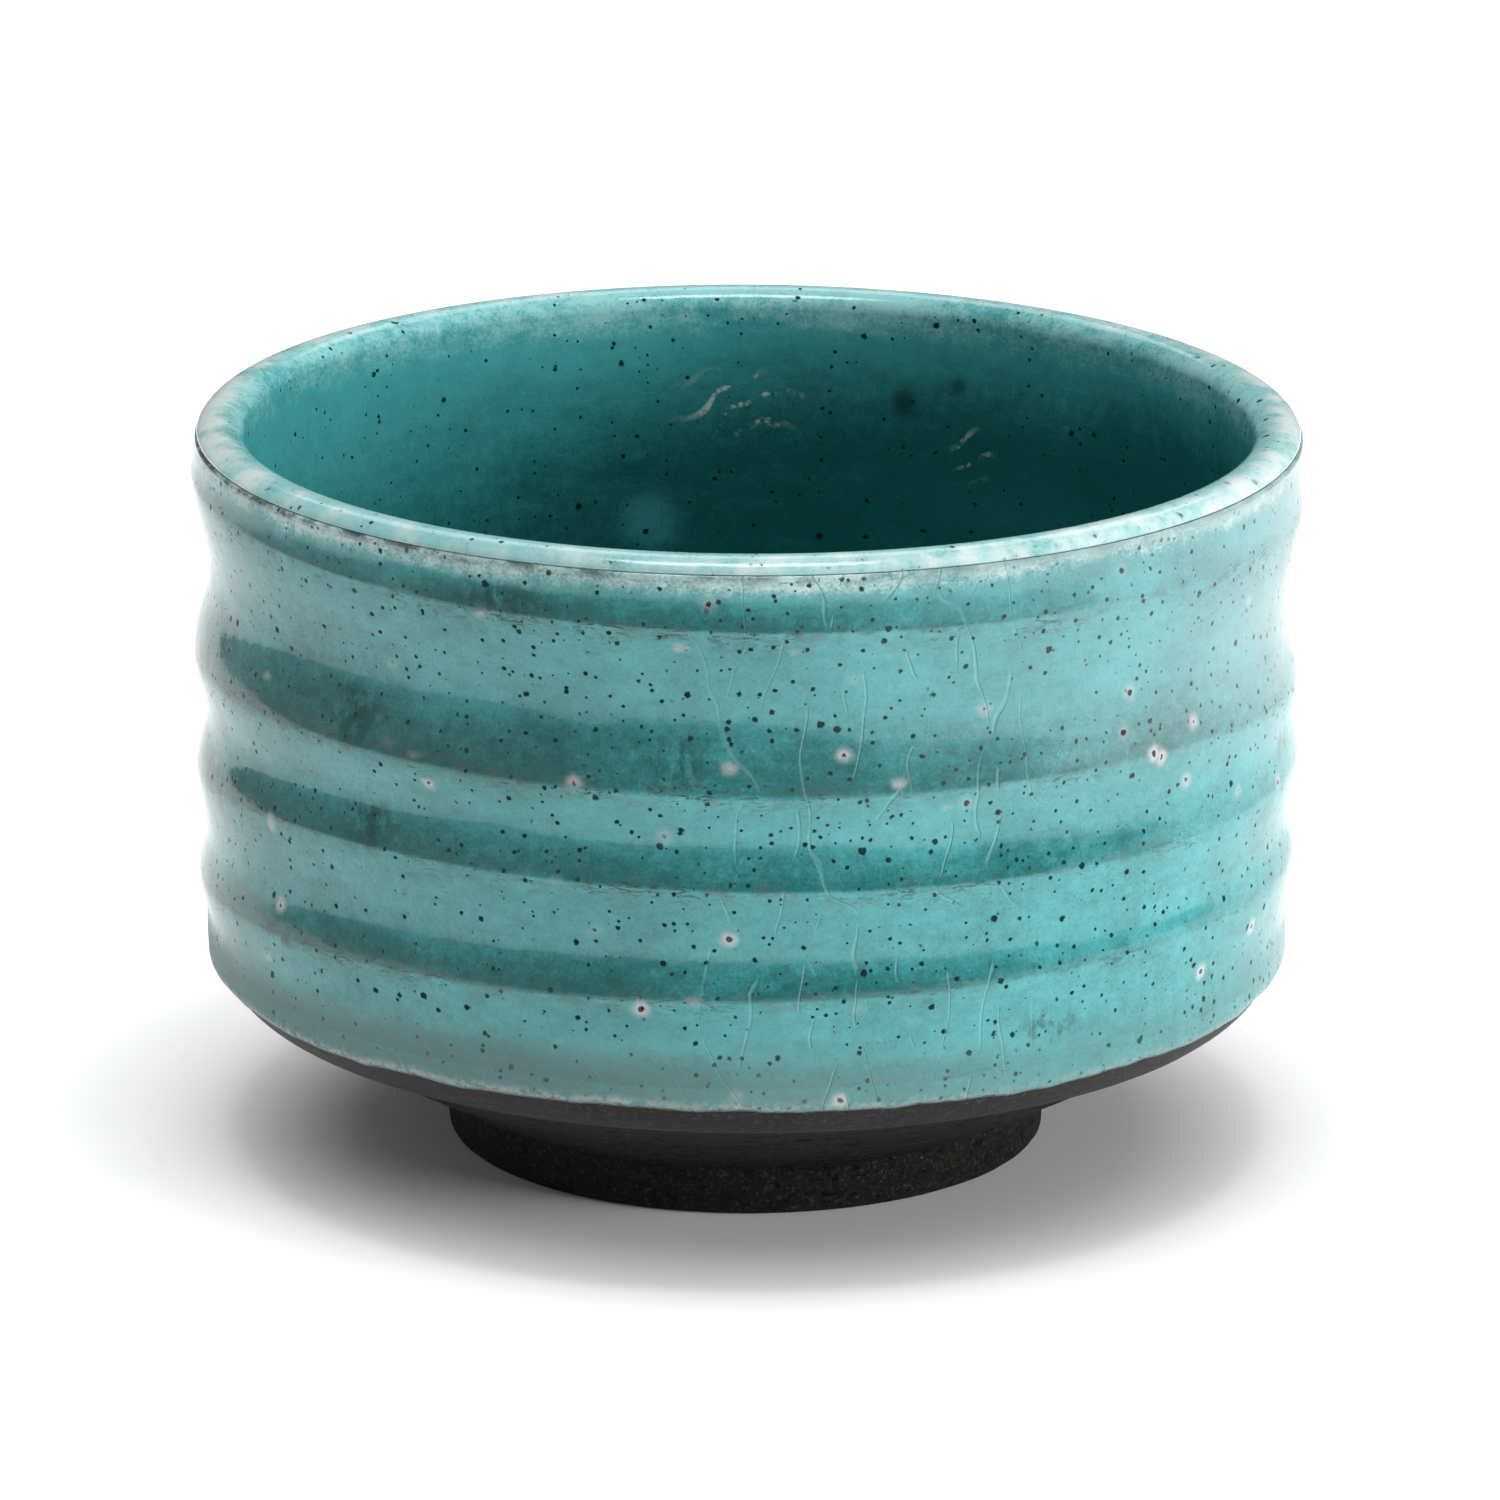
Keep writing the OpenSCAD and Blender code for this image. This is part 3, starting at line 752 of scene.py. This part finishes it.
colour = pale_brim(tree, mm, colour, (0.52, 0.57, 0.57))

# Two patches where the glaze has wrinkled, with painted whitish glints along the folds
axes = shade(tree, "ShaderNodeSeparateXYZ", {0: mm})
slanted = sum_up(tree, "MULTIPLY_ADD", axes.outputs[0], -0.55, axes.outputs[2])
fold_and_glint = hairlines(tree, mm, slanted, 4.6, 5.5, 0.35, 0.75)
fold_and_glint = sum_up(tree, "MULTIPLY", fold_and_glint, mark(tree, "wrinkle_and_glint"))
fold_and_glint = sum_up(tree, "MULTIPLY", fold_and_glint, between(tree, noise(tree, mm, 1.6, 4.0, 0.7), 0.44, 0.60))
colour = blend_colour(tree, sum_up(tree, "MULTIPLY", fold_and_glint, 0.75), colour, (0.50, 0.58, 0.58))
height = sum_up(tree, "MULTIPLY_ADD", fold_and_glint, 0.05, height)
finish_glaze(tree, shader, colour, height)
inner.data.materials.append(teal)
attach(inner, "root")
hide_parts("inner_glaze")

# ------------------------------------------------------------------------------ the studio
# A wide round table top covered in white paper. A low soft key light stands on the right, a weak
# one on the left and one behind, with a large and a small one overhead.

TABLE_R = 0.72
TABLE_SIDES = 96
rim = np.linspace(0, 2 * math.pi, TABLE_SIDES, endpoint=False)
rim = np.stack([TABLE_R * np.sin(rim), -TABLE_R * np.cos(rim), 0 * rim], axis=-1)
floor_mesh = bpy.data.meshes.new("studio_floor")
floor_mesh.from_pydata(rim.tolist(), [], [list(range(TABLE_SIDES))])
floor = bpy.data.objects.new("studio_floor", floor_mesh)
bpy.context.scene.collection.objects.link(floor)
paper = bpy.data.materials.new("white_paper")
paper.use_nodes = True
shader = paper.node_tree.nodes["Principled BSDF"]
shader.inputs["Base Color"].default_value = (0.92, 0.92, 0.92, 1)
shader.inputs["Roughness"].default_value = 0.9
shader.inputs["Specular IOR Level"].default_value = 0.0
floor.data.materials.append(paper)
floor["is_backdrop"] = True


def point_at(thing, target):
    """Turns a light or a camera to face a point."""
    way = Vector(target) - thing.location
    thing.rotation_euler = way.to_track_quat("-Z", "Y").to_euler()


def soft_light(name, azimuth, elevation, distance, width, height, power, gleams=True):
    """A soft box, placed by its angle round the bowl from the front and its height above the floor.
    One that doesn't gleam lights the piece without being mirrored in it."""
    lamp = bpy.data.lights.new(name, "AREA")
    lamp.shape = "RECTANGLE"
    lamp.size, lamp.size_y = width, height
    lamp.energy = power
    box = bpy.data.objects.new(name, lamp)
    a, e = math.radians(azimuth), math.radians(elevation)
    way = Vector((math.sin(a) * math.cos(e), -math.cos(a) * math.cos(e), math.sin(e)))
    box.location = way * distance
    point_at(box, (0, 0, 0.04))
    box.visible_glossy = gleams
    bpy.context.scene.collection.objects.link(box)


soft_light("key_light", 70, 10, 1.9, 1.0, 0.8, 47, gleams=False)
soft_light("fill_light", -88, 12, 1.6, 2.0, 0.8, 2, gleams=False)
soft_light("ceiling_light", 0, 89, 1.3, 2.2, 2.2, 24.5, gleams=False)
soft_light("top_light", 0, 86, 1.1, 0.5, 0.3, 4)
soft_light("back_light", 180, 45, 2.2, 1.6, 0.8, 6)

# The light from all round is a little brighter on the left
world = bpy.data.worlds.new("studio")
bpy.context.scene.world = world
world.use_nodes = True
sky = world.node_tree
towards = shade(sky, "ShaderNodeTexCoord").outputs["Generated"]
side = shade(sky, "ShaderNodeSeparateXYZ", {0: towards}).outputs[0]
background = sky.nodes["Background"]
sky.links.new(between(sky, side, -0.9, 0.2, 0.28, 0.16), background.inputs[1])
background.inputs[0].default_value = (1, 1, 1, 1)

# A long lens looks down at the bowl a little and leans by a hair
CAMERA_FAR = 1.1
camera = bpy.data.objects.new("camera", bpy.data.cameras.new("camera"))
bpy.context.scene.collection.objects.link(camera)
aim = Vector((0.0003, 0, 0.0422))
tilt = math.radians(16.6)
camera.location = aim + Vector((0, -math.cos(tilt), math.sin(tilt))) * CAMERA_FAR
camera.data.lens = 243
camera.data.sensor_width = 36
point_at(camera, aim)
camera.rotation_euler.rotate_axis("Z", math.radians(0.28))
bpy.context.scene.camera = camera
bpy.context.scene.view_settings.view_transform = "Standard"

low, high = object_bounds()
